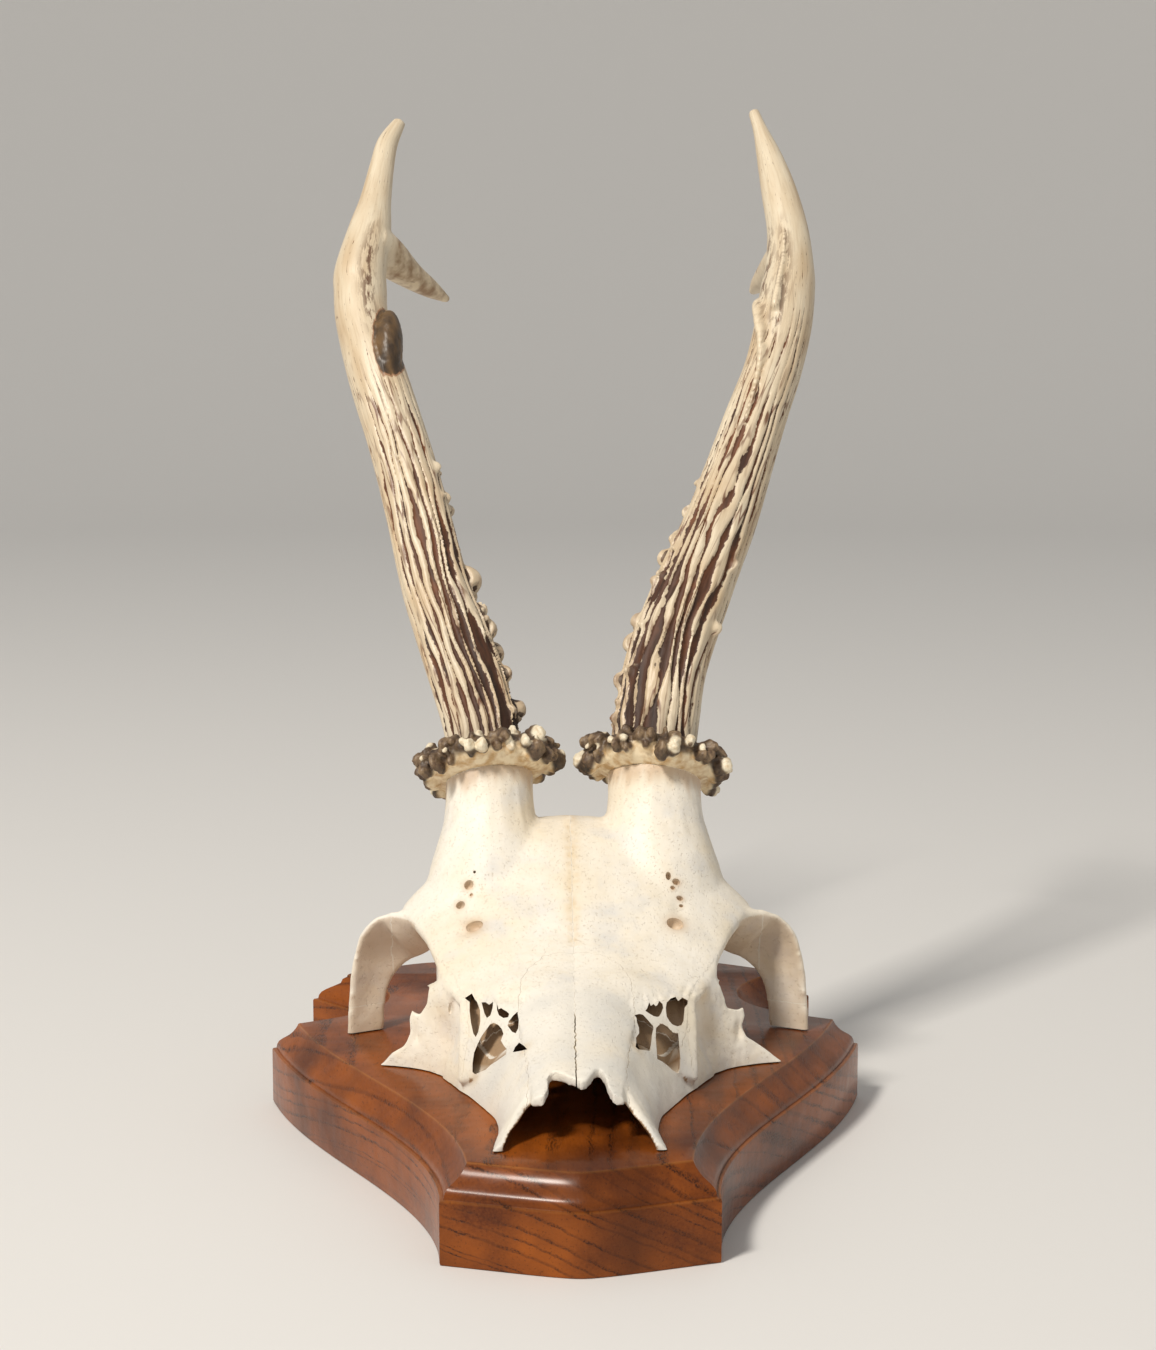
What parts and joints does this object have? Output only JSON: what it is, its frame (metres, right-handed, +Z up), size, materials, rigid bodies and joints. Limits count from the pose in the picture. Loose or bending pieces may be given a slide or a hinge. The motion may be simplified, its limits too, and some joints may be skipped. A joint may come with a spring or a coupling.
{
  "type": "roe deer antler mount",
  "caption": "Short-cut roe deer skull cap with both antlers, nose forward, on a moulded oak shield that lies flat.",
  "frame": {"origin": "centre of the shield's flat underside, on the surface that it lies on", "axes": "+Z up out of the shield, +X to the viewer's right, -Y towards the nose, which faces the viewer"},
  "size_m": [0.1224, 0.1927, 0.2096],
  "materials": {
    "oak": "stained oak under a satin varnish",
    "bone": "bleached dry bone, matt to satin",
    "coronet": "dark rough antler with pale worn knobs",
    "pearled_antler": "ribbed antler, brown in the grooves",
    "polished_antler": "smooth ivory-coloured antler"
  },
  "bodies": {
    "root": {"shield": "oak", "frontal_left": "bone", "frontal_right": "bone", "parietal_left": "bone", "parietal_right": "bone", "nasal_left": "bone", "nasal_right": "bone", "maxilla_left": "bone", "maxilla_right": "bone", "lacrimal_left": "bone", "lacrimal_right": "bone", "ethmoid_left": "bone", "ethmoid_right": "bone", "postorbital_bar_left": "bone", "postorbital_bar_right": "bone", "zygomatic_foot_left": "bone", "zygomatic_foot_right": "bone", "coronet_left": "coronet", "coronet_right": "coronet", "antler_beam_left": "pearled_antler", "antler_beam_right": "pearled_antler", "antler_tip_left": "polished_antler", "antler_tip_right": "polished_antler", "rear_tine_left": "polished_antler", "rear_tine_right": "polished_antler"}
  },
  "joints": []
}
